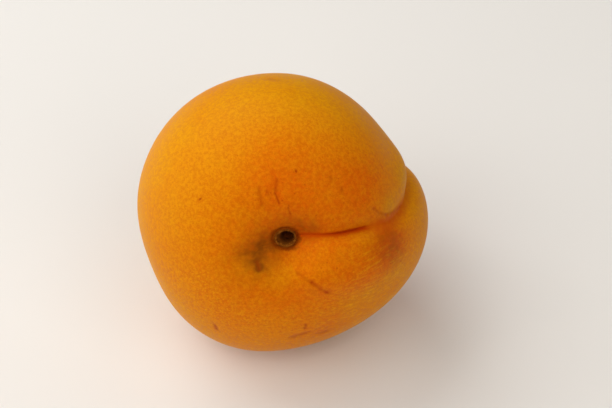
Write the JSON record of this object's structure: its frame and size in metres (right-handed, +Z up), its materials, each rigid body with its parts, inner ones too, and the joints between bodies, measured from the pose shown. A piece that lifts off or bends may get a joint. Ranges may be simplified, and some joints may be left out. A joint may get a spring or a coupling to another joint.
{
  "type": "apricot",
  "caption": "Whole ripe apricot lying on its side on a small flat spot, with a suture, a swollen cheek beside it and an empty stem scar.",
  "frame": {"origin": "under the middle of the fruit's box, on the surface it lies on", "axes": "+Z up; -Y to the front, where the stem end looks up and out; +X towards the suture and the swollen cheek"},
  "size_m": [0.0486, 0.0452, 0.0455],
  "materials": {
    "apricot_skin": "ripe orange skin with a fine velvety down"
  },
  "bodies": {
    "root": {"apricot": "apricot_skin"}
  },
  "joints": []
}
